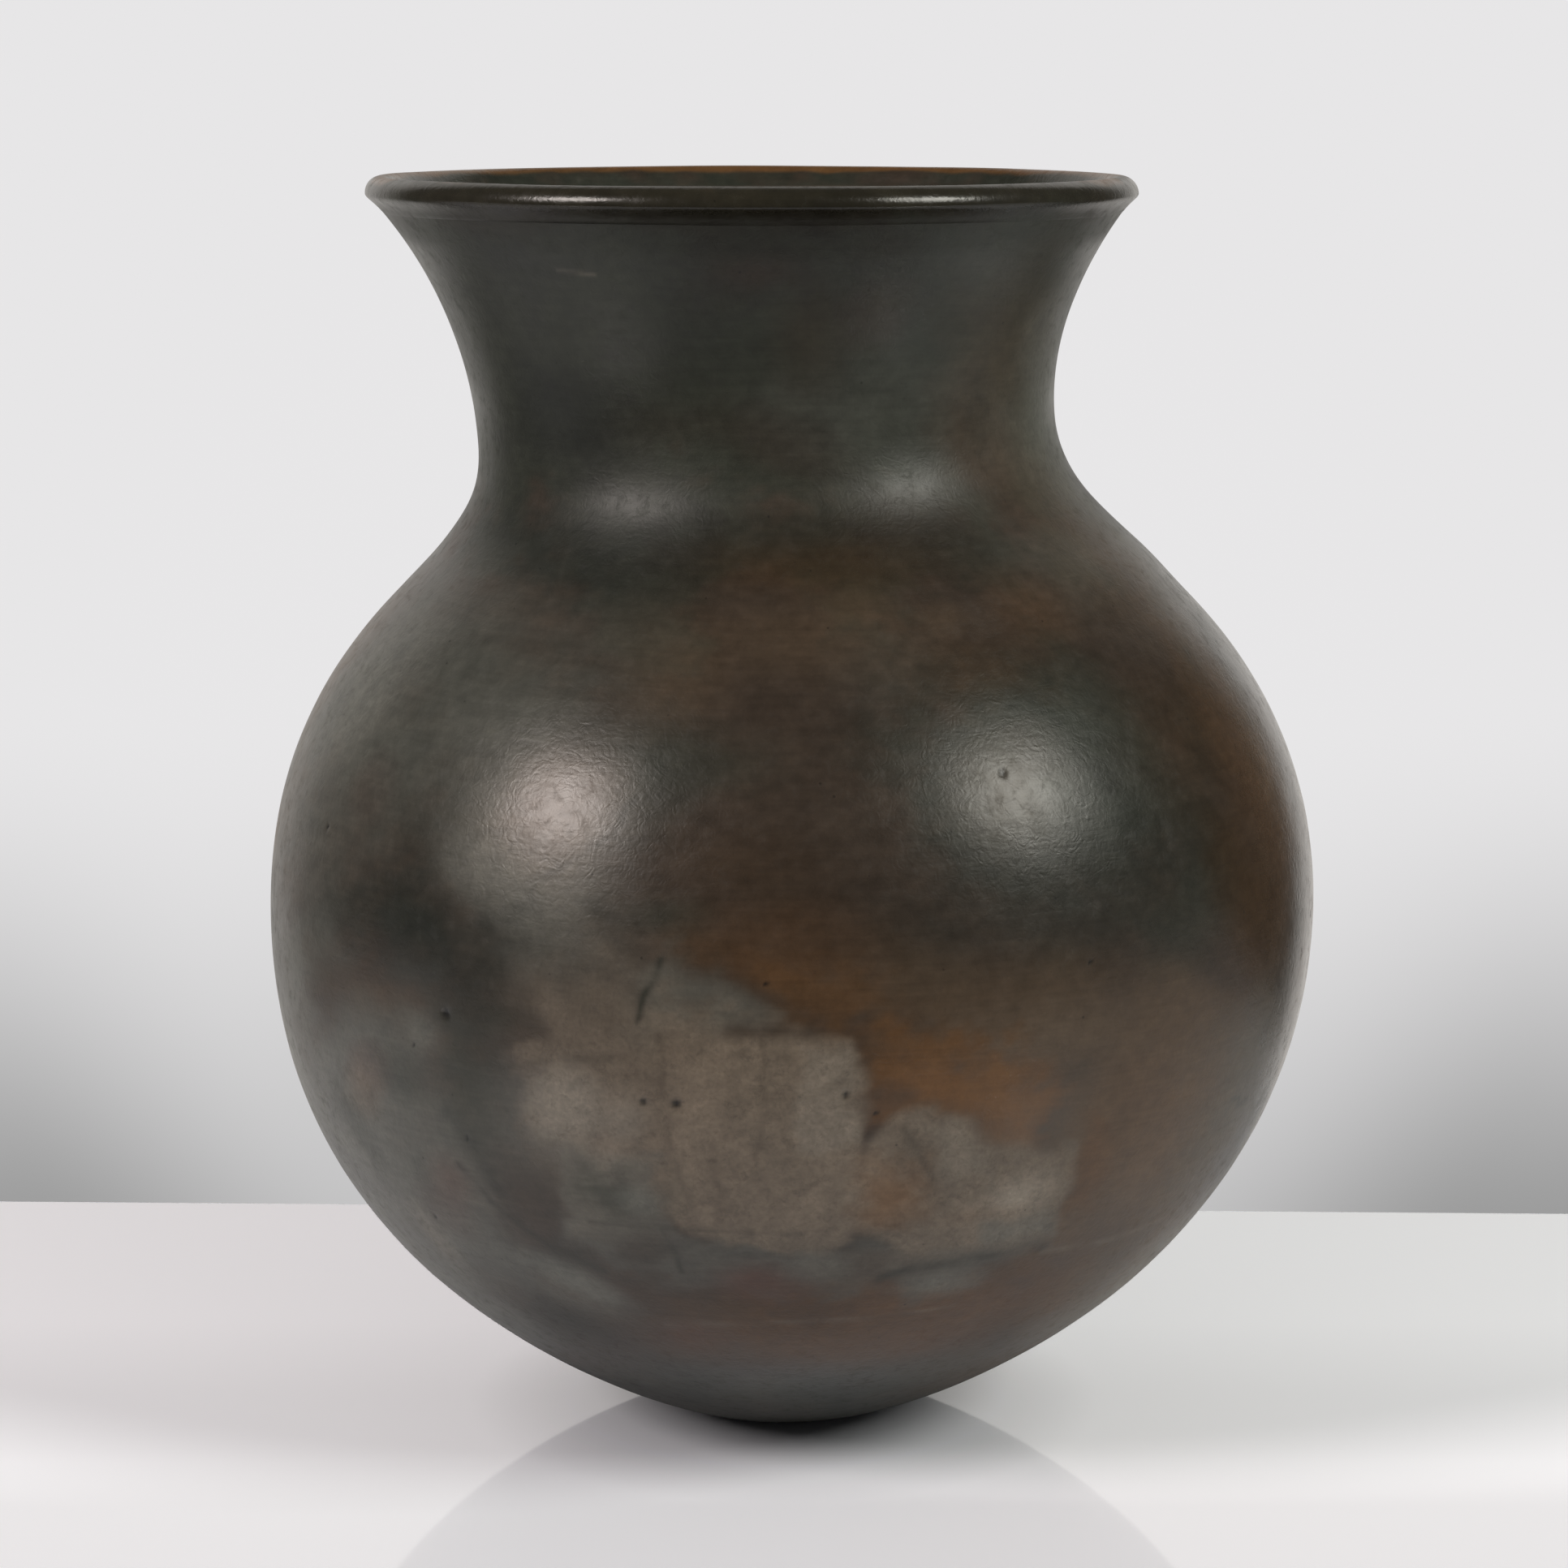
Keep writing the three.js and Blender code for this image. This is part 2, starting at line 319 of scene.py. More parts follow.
def buildMesh(name, rows, closed):
    radius, height, kind = rows
    count, columns = radius.shape
    points = (standPoints(radius, height, azimuth) * mm).reshape(-1, 3)
    quads = ringFaces(count, columns, closed)
    faceKind = np.repeat(np.maximum(kind[:quads.shape[0]], np.roll(kind, -1)[:quads.shape[0]]), columns)
    quads = quads.reshape(-1, 4)
    corners = quads.ravel()
    sizes = np.full(len(quads), 4)
    if not closed:  # both ends close on a pole in the middle of their rings
        ends = np.array([[0, 0, 0], [0, 0, np.mean(height[-1]) * mm]])
        points = np.concatenate([points, ends])
        j = np.arange(columns)
        nextColumn = (j + 1) % columns
        last = (count - 1) * columns
        foot = np.stack([nextColumn, j, np.full(columns, len(points) - 2)], 1)
        floor = np.stack([last + j, last + nextColumn, np.full(columns, len(points) - 1)], 1)
        corners = np.concatenate([corners, foot.ravel(), floor.ravel()])
        sizes = np.concatenate([sizes, np.full(2 * columns, 3)])
        faceKind = np.concatenate([faceKind, np.zeros(columns, int), np.ones(columns, int)])
    mesh = bpy.data.meshes.new(name)
    mesh.vertices.add(len(points))
    mesh.vertices.foreach_set("co", points.ravel())
    mesh.loops.add(len(corners))
    mesh.loops.foreach_set("vertex_index", corners)
    mesh.polygons.add(len(sizes))
    mesh.polygons.foreach_set("loop_start", np.concatenate([[0], np.cumsum(sizes)[:-1]]))
    mesh.polygons.foreach_set("material_index", (faceKind > 0).astype(int))
    mesh.update(calc_edges=True)
    sharpen(mesh, kind, columns)
    return mesh


def sharpen(mesh, kind, columns):
    # the rings where a joint face meets the wall keep their own normals, so a closed seam doesn't show
    ends = np.zeros(len(mesh.edges) * 2, int)
    mesh.edges.foreach_get("vertices", ends)
    ends = ends.reshape(-1, 2)
    row = np.minimum(ends // columns, len(kind) - 1)
    sameRing = (row[:, 0] == row[:, 1]) & (ends.max(1) < len(kind) * columns)
    before, after = np.roll(kind, 1), np.roll(kind, -1)
    edgeRow = (kind != 2) & ((before == 2) | (after == 2))
    sharp = mesh.attributes.new("sharp_edge", "BOOLEAN", "EDGE")
    sharp.data.foreach_set("value", sameRing & edgeRow[row[:, 0]])


def linear(hexColour):
    # sRGB hex to linear: c/12.92 below 0.04045, ((c + 0.055)/1.055)^2.4 above
    values = [int(hexColour[i:i + 2], 16) / 255 for i in (1, 3, 5)]
    return [c / 12.92 if c < 0.04045 else ((c + 0.055) / 1.055) ** 2.4 for c in values] + [1]


# What the fire left on the clay, from black to white.
pigments = {
    "clay": "#372e26",  # reduced brown, where little else lies
    "char": "#251d12",
    "pit": "#0d0c0a",
    "soot": "#21241e",
    "olive": "#2f332b",
    "umber": "#3c2a15",
    "stone": "#595a54",  # a grey film of ash
    "tan": "#5a4a39",
    "sienna": "#583f28",
    "orange": "#6f4d2a",  # where the flame licked
    "rust": "#55352a",
    "taupe": "#6f6457",  # thick ash, burnt in
    "dove": "#6c6d66",
    "chalk": "#857e73",
    "bone": "#9a9184",
}
ashes = ("taupe", "dove", "chalk", "bone")
# Where it lies. Each mark is laid over the ones before it. Some marks are also painted light: painted
# highlight and reflection, and painted shade at the foot, as noted where they lie.
# An oval: pigment, azimuth, height, half its width in degrees and half its height in mm, its tilt in degrees,
# the softness of its edge, and its strength.
ovals = [
    # lip, neck and mouth
    ("olive", 0, 268, 220, 58, 0, 0.25, 0.92),
    ("char", 0, 298, 110, 8, 0, 0.5, 0.62),
    ("orange", 180, 301, 125, 2.6, 0, 0.25, 0.75),
    ("soot", -46, 252, 15, 26, 0, 0.9, 0.75),
    ("soot", -34, 221, 30, 10, 0, 0.8, 0.85),
    ("char", 4, 224, 20, 9, 0, 0.9, 0.6),
    ("char", 24, 224, 15, 11, 0, 0.9, 0.8),
    ("umber", 2, 216, 24, 6, 0, 0.9, 0.5),
    ("stone", 24, 252, 26, 16, 0, 0.9, 0.36),
    ("stone", 12, 246, 14, 9, 0, 0.9, 0.2),
    ("clay", 4, 241, 18, 9, -12, 0.9, 0.5),
    ("clay", -16, 246, 10, 7, 0, 0.9, 0.3),
    ("umber", 9, 268, 8, 13, -12, 0.9, 0.3),
    ("rust", 46, 236, 7, 16, 0, 0.9, 0.25),
    ("soot", -17, 228, 7, 8, 0, 0.9, 0.45),
    ("char", 2, 281, 14, 10, 0, 0.9, 0.45),
    ("char", 20, 288, 7, 7, 0, 0.9, 0.4),
    ("rust", 1, 281, 7, 4, 0, 0.9, 0.12),
    ("rust", 21, 271, 6, 9, 0, 0.9, 0.14),
    ("tan", 52, 256, 20, 30, 0, 0.9, 0.4),
    # partly grey ash, partly a painted reflection of the pale paper along the neck's right edge
    ("dove", 68, 244, 16, 34, 0, 0.9, 0.6),
    ("tan", 58, 226, 20, 16, 0, 0.9, 0.35),
    ("stone", 42, 284, 14, 12, 0, 0.9, 0.25),
    ("olive", 45, 249, 4, 9, 0, 0.9, 0.3),
    # shoulder
    ("stone", -52, 200, 30, 15, 0, 0.8, 0.55),
    ("stone", -62, 172, 24, 34, 0, 0.9, 0.8),
    ("stone", -62, 142, 16, 26, 0, 0.9, 0.32),
    # partly grey ash, partly a painted reflection of the pale paper at the left silhouette
    ("dove", -63, 182, 13, 18, 0, 0.9, 0.85),
    ("olive", -36, 174, 26, 26, 0, 0.9, 0.55),
    ("stone", -36, 184, 18, 12, 0, 0.9, 0.5),
    ("soot", -27, 213, 20, 8, 0, 0.9, 0.6),
    ("tan", 2, 203, 26, 9, 0, 0.9, 0.32),
    ("tan", -14, 192, 8, 8, 0, 0.9, 0.3),
    ("tan", 60, 208, 20, 16, 0, 0.8, 0.4),
    ("stone", 46, 213, 12, 12, 0, 0.9, 0.25),
    ("umber", 26, 193, 12, 9, 0, 0.9, 0.7),
    ("sienna", 37, 207, 9, 8, 0, 0.9, 0.4),
    ("tan", 9, 209, 5, 3, 0, 0.9, 0.35),
    ("tan", 22, 206, 4, 4, 0, 0.9, 0.3),
    ("rust", -53, 165, 5, 8, 0, 0.9, 0.2),
    ("olive", -9, 178, 9, 9, 0, 0.9, 0.5),
    # left, round the highlight: the pale and rust marks at its core and halo are partly pale ash, partly
    # painted highlight that brightens and warms the left lamp's gloss
    ("stone", -40, 172, 13, 16, 0, 0.9, 0.4),
    ("dove", -30, 156, 12, 22, -16, 0.95, 0.48),
    ("taupe", -28, 163, 9, 17, -16, 0.9, 0.45),
    ("chalk", -26, 168, 6, 13, -16, 0.9, 0.28),
    ("rust", -26, 168, 6, 12, -16, 0.9, 0.4),
    ("olive", -15, 170, 4, 13, -14, 0.8, 0.25),
    ("dove", -22, 136, 12, 22, -10, 0.95, 0.3),
    ("soot", -42, 157, 6, 10, 0, 0.9, 0.35),
    ("soot", -42, 140, 14, 14, 0, 0.8, 0.95),
    ("soot", -34, 126, 6, 18, 0, 0.8, 0.6),
    # partly pale ash, partly painted highlight: the pale halo below and left of the left lamp's gloss
    ("dove", -34, 152, 7, 9, -16, 0.9, 0.38),
    ("olive", -12, 147, 5, 5, 0, 0.9, 0.5),
    # middle
    ("umber", -6, 158, 10, 12, 0, 0.9, 0.3),
    ("sienna", -3, 141, 13, 9, 0, 0.9, 0.4),
    ("stone", 12, 196, 8, 8, 0, 0.9, 0.15),
    # right
    ("olive", 31, 174, 22, 24, 0, 0.6, 0.95),
    ("soot", 31, 154, 20, 20, 0, 0.6, 0.47),
    ("umber", 24, 172, 7, 12, 0, 0.9, 0.6),
    ("stone", 26, 142, 18, 10, 0, 0.9, 0.08),
    ("tan", 18, 132, 18, 8, 0, 0.9, 0.3),
    ("olive", 46, 142, 10, 14, 0, 0.9, 0.6),
    ("umber", 50, 178, 10, 20, 0, 0.9, 0.5),
    ("sienna", 64, 166, 9, 36, 0, 0.8, 0.55),
    ("tan", 68, 174, 6, 24, 0, 0.8, 0.4),
    ("umber", 56, 136, 8, 24, 0, 0.8, 0.75),
    ("tan", 26, 120, 22, 13, 0, 0.8, 0.65),
    ("taupe", 24, 118, 14, 10, 0, 0.9, 0.16),
    ("tan", 42, 102, 22, 20, 0, 0.8, 0.75),
    ("stone", 60, 106, 10, 14, 0, 0.9, 0.3),
    ("tan", 44, 80, 22, 22, 0, 0.8, 0.85),
    ("stone", 60, 84, 12, 20, 0, 0.9, 0.35),
    ("sienna", 40, 92, 10, 26, 10, 0.9, 0.3),
    ("tan", 60, 50, 26, 26, 0, 0.8, 0.85),
    # partly pale ash, partly a painted reflection of the table at the grazing lower right edge
    ("chalk", 62, 42, 22, 18, 0, 0.9, 0.6),
    # lower left
    ("stone", -56, 84, 28, 44, 0, 0.8, 0.85),
    ("stone", -44, 70, 22, 44, 0, 0.95, 0.6),
    ("dove", -66, 70, 20, 46, 0, 0.95, 0.8),
    ("tan", -50, 121, 9, 5, 0, 0.9, 0.25),
    ("rust", -50, 103, 4, 6, 20, 0.9, 0.3),
    ("olive", -44, 103, 4.5, 7, 0, 0.9, 0.5),
    ("dove", -41, 114, 4, 6, 0, 0.9, 0.5),
    ("olive", -35, 104, 5, 18, 0, 0.9, 0.6),
    ("olive", -45, 80, 3, 9, 10, 0.9, 0.3),
    ("rust", -43, 72, 5, 8, 0, 0.9, 0.2),
    ("clay", -30, 74, 6, 16, 16, 0.7, 0.8),
    ("soot", -34, 84, 2.2, 14, 22, 0.9, 0.5),
    ("soot", -27, 64, 5, 5, 30, 0.9, 0.3),
    ("dove", -62, 44, 18, 18, 0, 0.9, 0.7),
    ("soot", -32, 44, 9, 8, 0, 0.9, 0.7),
    ("stone", -27, 55, 9, 7, -20, 0.9, 0.7),
    # the sides and the back
    ("tan", 96, 112, 26, 42, 12, 0.9, 0.65),
    ("stone", 118, 84, 22, 34, -15, 0.9, 0.6),
    ("sienna", 106, 152, 18, 18, 20, 0.9, 0.55),
    ("olive", 92, 196, 24, 16, 0, 0.9, 0.6),
    ("soot", 138, 166, 26, 24, 0, 0.8, 0.75),
    ("rust", 126, 138, 8, 9, 0, 0.9, 0.4),
    ("stone", 168, 84, 24, 34, 0, 0.9, 0.6),
    ("tan", 176, 198, 30, 12, 0, 0.9, 0.45),
    ("stone", -164, 176, 24, 22, 0, 0.9, 0.5),
    ("sienna", -150, 122, 20, 24, 14, 0.9, 0.5),
    ("soot", -124, 152, 22, 26, 0, 0.8, 0.75),
    ("tan", -104, 96, 24, 40, -12, 0.9, 0.6),
    ("dove", -92, 58, 24, 26, 0, 0.9, 0.5),
    ("umber", -100, 198, 22, 12, 0, 0.9, 0.5),
    ("olive", 180, 34, 60, 14, 0, 0.9, 0.6),
    # low in front
    ("sienna", 12, 49, 34, 16, 0, 0.6, 0.85),
    ("umber", -4, 54, 12, 6, 0, 0.9, 0.4),
    ("rust", -13, 45, 7, 5, 0, 0.9, 0.3),
    ("olive", 0, 24, 60, 11, 0, 0.9, 0.75),
    # soot round the foot and painted shade: darkest at the bottom, where the contact shadow falls
    ("soot", 0, 6, 220, 20, 0, 0.9, 0.85),
    ("tan", 50, 24, 24, 12, 0, 0.9, 0.65),
]
# An outline: pigment, softness of its edge in mm, strength, then its corners by azimuth and height.
outlines = [
    ("orange", 6, 0.36, [(-5, 138), (2, 138), (9, 134), (9, 126), (5, 124), (-2, 127), (-4, 131)]),
    ("sienna", 7, 0.6, [(6, 124), (14, 124), (20, 118), (26, 110), (28, 100), (25, 92), (18, 98), (12, 103),
                        (7, 100)]),
    ("orange", 9, 0.64, [(9, 118), (22, 117), (28, 105), (25, 94), (18, 98), (11, 103)]),
    ("sienna", 3, 0.6, [(32, 100), (35, 98), (36, 86), (37, 74), (33, 74), (32, 84)]),
    ("stone", 4, 0.55, [(-26, 76), (-10, 76), (10, 74), (30, 72), (33, 66), (24, 60), (17, 55), (9, 60),
                        (2, 58), (-6, 62), (-14, 60), (-20, 63), (-26, 70)]),
    ("stone", 6, 0.7, [(-16, 128), (-13.5, 138), (-8, 136), (-4, 131), (-2, 125), (-6, 120), (-16, 120)]),
    ("taupe", 12, 0.6, [(-26, 131), (-16, 133), (-8, 126), (-6, 108), (-16, 104), (-27, 112)]),
    ("taupe", 7, 0.75, [(-27, 116), (-20, 118), (-13, 114), (-8, 116), (-6, 108), (-7, 90), (-8, 77),
                        (-16, 75), (-24, 72), (-25, 84), (-27, 100)]),
    ("taupe", 6, 0.7, [(-14, 126), (-6, 125), (-2, 123), (0, 110), (-8, 100), (-14, 104)]),
    ("taupe", 2, 0.9, [(-8, 120), (-4, 121), (2, 123), (5.5, 120.5), (7.2, 112), (6.8, 97), (7.5, 88),
                       (9, 76), (3, 70), (-7, 72), (-12, 76), (-12, 100)]),
    ("taupe", 2.5, 0.9, [(8, 97), (11, 104), (14.5, 106), (17, 103), (19.5, 98), (23, 95), (27, 93), (31, 90),
                         (32, 82), (33, 74), (32, 69), (27, 67.5), (18, 68), (12, 70), (7, 76), (6, 88)]),
    ("chalk", 3, 0.35, [(13, 103), (16, 102), (21, 93), (21, 86), (15, 90)]),
    ("chalk", 2, 0.4, [(0.5, 121), (5.5, 119), (6.6, 112), (6.4, 96), (0.5, 96)]),
    ("orange", 7, 0.6, [(112, 118), (124, 124), (131, 118), (130, 106), (120, 98), (113, 106)]),
    ("taupe", 3, 0.8, [(131, 116), (139, 120), (146, 117), (151, 108), (159, 106), (163, 98), (169, 94),
                       (168, 84), (158, 78), (146, 80), (137, 76), (131, 84), (133, 98), (129, 106)]),
    ("taupe", 5, 0.7, [(-133, 94), (-122, 100), (-112, 97), (-104, 88), (-106, 76), (-116, 70), (-129, 74)]),
    ("orange", 5, 0.4, [(7, 92), (13, 92), (14, 78), (8, 76)]),
    ("dove", 3.5, 0.5, [(22, 76), (32, 76), (32, 69), (23, 68.5)]),
    ("stone", 4, 0.6, [(-26, 95), (-14, 93), (-12, 74), (-25, 72)]),
    ("olive", 4, 0.45, [(-23, 91), (-18, 89), (-16, 78), (-21, 76)]),
]
# Ovals that lie over the outlines, given in the same way.
lateOvals = [
    # partly pale ash, partly a painted reflection of the left lamp in the table: the next three pale marks
    ("chalk", -23.4, 103, 3.7, 9, -10, 0.9, 0.92),
    ("chalk", -17, 101, 3, 7, 0, 0.9, 0.6),
    ("chalk", -19, 93, 3, 4, 0, 0.9, 0.3),
    ("bone", 25, 81, 5, 6, 12, 0.9, 0.6),
    ("orange", 11, 82, 5, 6, 0, 0.9, 0.35),
    ("sienna", 21, 77, 5, 3, 0, 0.9, 0.3),
    ("rust", -4, 62, 6, 6, 0, 0.9, 0.6),
    ("taupe", -52, 96, 4, 6, 24, 0.9, 0.5),
    ("olive", -55, 84, 3, 12, 24, 0.9, 0.4),
    ("rust", -40, 80, 4, 8, 20, 0.9, 0.35),
    ("chalk", -49, 62, 3, 10, 24, 0.9, 0.35),
    ("olive", -20, 83, 5, 4, 0, 0.9, 0.45),
    ("dove", -16, 82, 3, 4, 0, 0.9, 0.5),
    ("olive", -30, 122, 5, 4, 0, 0.9, 0.3),
    ("umber", -9, 140, 4, 4, 0, 0.9, 0.4),
    ("taupe", 16, 67, 12, 3, 0, 0.9, 0.4),
    ("clay", -17, 68, 4, 5, 20, 0.9, 0.6),
    ("clay", 9, 66, 3, 4, 0, 0.9, 0.4),
    ("dove", 3, 66, 4, 4, 0, 0.9, 0.4),
    ("dove", 19, 59, 6, 4, 0, 0.9, 0.5),
    ("dove", -26, 57, 8, 4, -20, 0.9, 0.5),
    ("olive", -12, 86, 2, 8, 0, 0.9, 0.25),
    ("chalk", 142, 104, 5, 9, 12, 0.9, 0.8),
    ("chalk", 161, 89, 5, 5, -10, 0.9, 0.8),
    ("olive", 149, 92, 4, 8, 0, 0.9, 0.4),
    ("chalk", -118, 86, 6, 6, 0, 0.9, 0.7),
]
# A line: pigment, half its width in mm, strength, then its points by azimuth and height.
lines = [
    ("soot", 0.7, 0.75, [(-15.2, 124), (-14.2, 131), (-12.8, 138)]),
    ("soot", 0.7, 0.75, [(11.3, 100), (13, 94), (15, 87)]),
    ("soot", 0.6, 0.6, [(-14, 74), (-12.6, 68), (-12, 64)]),
    ("soot", 0.6, 0.4, [(-22, 75.5), (-10, 75.3), (2, 75)]),
    ("soot", 1.1, 0.4, [(-30, 110), (-24, 114), (-18, 115)]),
    ("clay", 0.8, 0.35, [(-13, 121), (-12.6, 108), (-12, 95), (-10.5, 82)]),
    ("clay", 0.7, 0.3, [(-2.8, 121), (-2.6, 106), (-3.4, 92)]),
    ("clay", 1.2, 0.3, [(-8, 97), (-7, 85), (-7.5, 77)]),
    ("soot", 1.3, 0.6, [(11, 62), (15, 64.5), (22, 65.5), (32, 65)]),
    ("chalk", 0.8, 0.2, [(32, 64), (42, 63.5), (52, 64.5)]),
    ("chalk", 0.6, 0.2, [(-16, 48), (0, 49.4), (22, 51.5)]),
    ("chalk", 0.45, 0.35, [(-33, 281), (-26, 281)]),
    ("soot", 0.9, 0.5, [(-38, 85), (-34, 75), (-28, 66), (-22, 62)]),
    ("soot", 0.6, 0.6, [(56, 93), (58.5, 92), (58.5, 90), (61, 90.5)]),
    ("soot", 0.8, 0.7, [(134, 112), (136, 104), (135, 96)]),
    ("clay", 0.8, 0.35, [(146, 116), (146.5, 100), (145, 84)]),
    ("soot", 1.2, 0.6, [(132, 72), (146, 74), (160, 72)]),
    ("soot", 2.2, 0.4, [(-21, 149), (-17, 146), (-13, 146.5)]),
    ("soot", 0.9, 0.4, [(-28, 150), (-23, 157), (-19, 163), (-17, 170)]),
]
mmPerDegree = 2.0  # near the girth, where the outlines are


def nearest(across, up, starts, ends):
    # distance in the unrolled plane to the nearest of the straight pieces from each start to its end
    away = []
    for (x0, y0), (x1, y1) in zip(starts, ends):
        dx, dy = x1 - x0, y1 - y0
        t = np.clip(((across - x0) * dx + (up - y0) * dy) / (dx * dx + dy * dy), 0, 1)
        away.append(np.hypot(across - x0 - t * dx, up - y0 - t * dy))
    return np.min(away, 0)


def insideOutline(across, up, corners):
    # true where a level line to the right crosses the outline an odd number of times
    odd = np.zeros(across.shape, bool)
    for (x0, y0), (x1, y1) in zip(corners, corners[1:] + corners[:1]):
        crosses = (y0 > up) != (y1 > up)
        odd ^= crosses & (across < x0 + (x1 - x0) * (up - y0) / ((y1 - y0) or 1))
    return odd


def fireAndPaintedLightColour(azimuthDegrees, height, points):
    # the colour of each point, from bare clay with every mark laid on in turn, and how much ash lies there
    colour = np.broadcast_to(linear(pigments["clay"])[:3], (*height.shape, 3)).copy()
    ash = np.zeros(height.shape)

    def lay(pigment, amount):
        nonlocal ash
        share = amount[..., None]
        colour[...] = colour * (1 - share) + np.array(linear(pigments[pigment])[:3]) * share
        ash = ash * (1 - amount) + amount * (pigment in ashes)

    broad = softNoise(points, 34, 41)
    middle = softNoise(points * (1, 1, 1.8), 12, 42)
    fine = softNoise(points * (1, 1, 1.5), 4.5, 45)
    large = softNoise(points, 150, 46)
    # away from the front the fire played freely, and the neck stayed in the smoke
    side = smoothStep(55, 85, np.abs(wrapDegrees(azimuthDegrees))) * (1 - smoothStep(222, 262, height))
    lay("soot", side * 0.75 * smoothStep(-0.2, 1.4, large + 0.35 * broad))
    lay("tan", side * 0.6 * smoothStep(0.1, 1.6, -large + 0.45 * broad))

    def layOvals(marks):
        for pigment, at, high, halfWide, halfHigh, tilt, soft, strength in marks:
            turn = math.radians(tilt)
            right = wrapDegrees(azimuthDegrees - at)
            up = height - high
            across = (right * math.cos(turn) + up / mmPerDegree * math.sin(turn)) / halfWide
            along = (up * math.cos(turn) - right * mmPerDegree * math.sin(turn)) / halfHigh
            reach = np.hypot(across, along) + 0.14 * broad + 0.045 * middle + 0.02 * fine
            lay(pigment, strength * (1 - smoothStep(1 - soft, 1 + soft * 0.5, reach)))

    layOvals(ovals)
    right = wrapDegrees(azimuthDegrees) * mmPerDegree + 0.9 * softNoise(points, 14, 43)
    up = height + 0.9 * softNoise(points, 14, 44)
    for pigment, edge, strength, corners in outlines:
        corners = [(a * mmPerDegree, z) for a, z in corners]
        away = nearest(right, up, corners, corners[1:] + corners[:1])
        signed = np.where(insideOutline(right, up, corners), -away, away)
        signed = signed + 0.3 * edge * (0.6 * middle + 0.4 * fine)
        lay(pigment, strength * (1 - smoothStep(-edge, edge * 0.8, signed)))
    layOvals(lateOvals)
    for pitAzimuth, pitHeight, pitRadius, _ in pits:
        across = wrapDegrees(azimuthDegrees - pitAzimuth) * mmPerDegree
        lay("pit", np.exp(-((across ** 2 + (height - pitHeight) ** 2) / pitRadius ** 2) ** 1.5))
    right = wrapDegrees(azimuthDegrees) * mmPerDegree + 0.3 * middle
    up = height + 0.25 * broad
    for pigment, halfWidth, strength, corners in lines:
        corners = [(a * mmPerDegree, z) for a, z in corners]
        away = nearest(right, up, corners, corners[1:])
        lay(pigment, strength * (0.75 + 0.25 * middle).clip(0, 1) * np.exp(-(away / halfWidth) ** 2))
    panels = softNoise(points * (1, 1, 0.22), 7, 47)
    colour *= np.exp(0.035 * middle + 0.045 * fine + 0.05 * broad + 0.05 * ash * panels)[..., None]
    return colour, ash


# Where the burnish is duller (+) or brighter (-): change of roughness, azimuth, height, half its width in
# degrees and half its height in mm.
polish = [
    (0.09, 0, 229, 220, 22), (-0.1, 0, 298, 220, 6), (0.2, 0, 301, 220, 2.2), (0.1, 0, 289, 220, 6),
    (0.3, 0, 4, 220, 30), (0.06, 0, 265, 220, 22), (-0.15, 82, 140, 32, 90), (-0.05, -26, 168, 16, 22),
    (0.04, -28, 229, 20, 14),
]


def polishMarks(azimuthDegrees, height):
    # the changes of roughness, each full in the middle of its oval and gone at its edge
    total = np.zeros(height.shape)
    for change, at, high, halfWide, halfHigh in polish:
        reach = np.hypot(wrapDegrees(azimuthDegrees - at) / halfWide, (height - high) / halfHigh)
        total += change * (1 - smoothStep(0.35, 1, reach))
    return total


def storeMarks(mesh, rows):
    radius, height, kind = rows
    outside = kind == 0
    points = standPoints(radius[outside], height[outside], azimuth)
    degrees = np.degrees(azimuth) + height[outside] * 0
    values = np.zeros((*radius.shape, 4))
    values[outside, :, :3], values[outside, :, 3] = fireAndPaintedLightColour(degrees, height[outside], points)
    flat = np.zeros((len(mesh.vertices), 4))
    flat[:radius.size] = values.reshape(-1, 4)
    flat[radius.size:] = values[0, 0]
    mesh.attributes.new("fired", "FLOAT_COLOR", "POINT").data.foreach_set("color", flat.ravel())
    dullness = np.zeros(radius.shape)
    dullness[outside] = polishMarks(degrees, height[outside])
    flat = np.zeros(len(mesh.vertices))
    flat[:radius.size] = dullness.ravel()
    mesh.attributes.new("dullness", "FLOAT", "POINT").data.foreach_set("value", flat)


def addNode(tree, kind, inputs=(), **settings):
    # a node with its settings; each input, by name or in order, is linked to a node's first output or to a
    # socket, or else set to a value
    made = tree.nodes.new("ShaderNode" + kind)
    for key, value in settings.items():
        setattr(made, key, value)
    for key, value in inputs.items() if isinstance(inputs, dict) else enumerate(inputs):
        if isinstance(value, bpy.types.Node):
            value = value.outputs[0]
        if isinstance(value, bpy.types.NodeSocket):
            tree.links.new(value, made.inputs[key])
        else:
            made.inputs[key].default_value = value
    return made


def startMaterial(name):
    # an empty material, its tree, and the place on the object in metres
    material = bpy.data.materials.new(name)
    material.use_nodes = True
    tree = material.node_tree
    tree.nodes.clear()
    return material, tree, addNode(tree, "TexCoord").outputs["Object"]


# Sizes in mm. A pair named tone, or bump, is the amount in bare clay and what full ash adds to it.
burnishedClay = {
    "roughness": (0.29, 0.38),  # where the mottle is low and where it is high
    "ashRoughness": 0.06,
    "speckRoughness": 0.09,
    "ior": 1.45,
    "mottle": 6,
    "mottleShade": (0.8, 1.2),
    "grain": 1.3,
    "grainTone": (0.3, 0.4),
    "strokeLength": 16,
    "strokeWidth": 1.2,
    "strokeTone": (0.42, -0.3),
    "specks": 3,
    "speckRange": (0.52, 0.68),
    "speckTone": (-0.08, -0.22),
    "speckLift": 1.03,  # makes up for what the specks take off
    "holes": 6,
    "holeRange": (0.07, 0.03),
    "holeCut": 0.6,  # only cells with a paler random colour have one
    "holeTone": -0.55,
    "crinkle": 3.4,
    "strokeHeight": 0.7,  # against the grain's
    "creaseHeight": 1.8,
    "bump": (0.6, 0.2),
    "relief": 0.06,
}


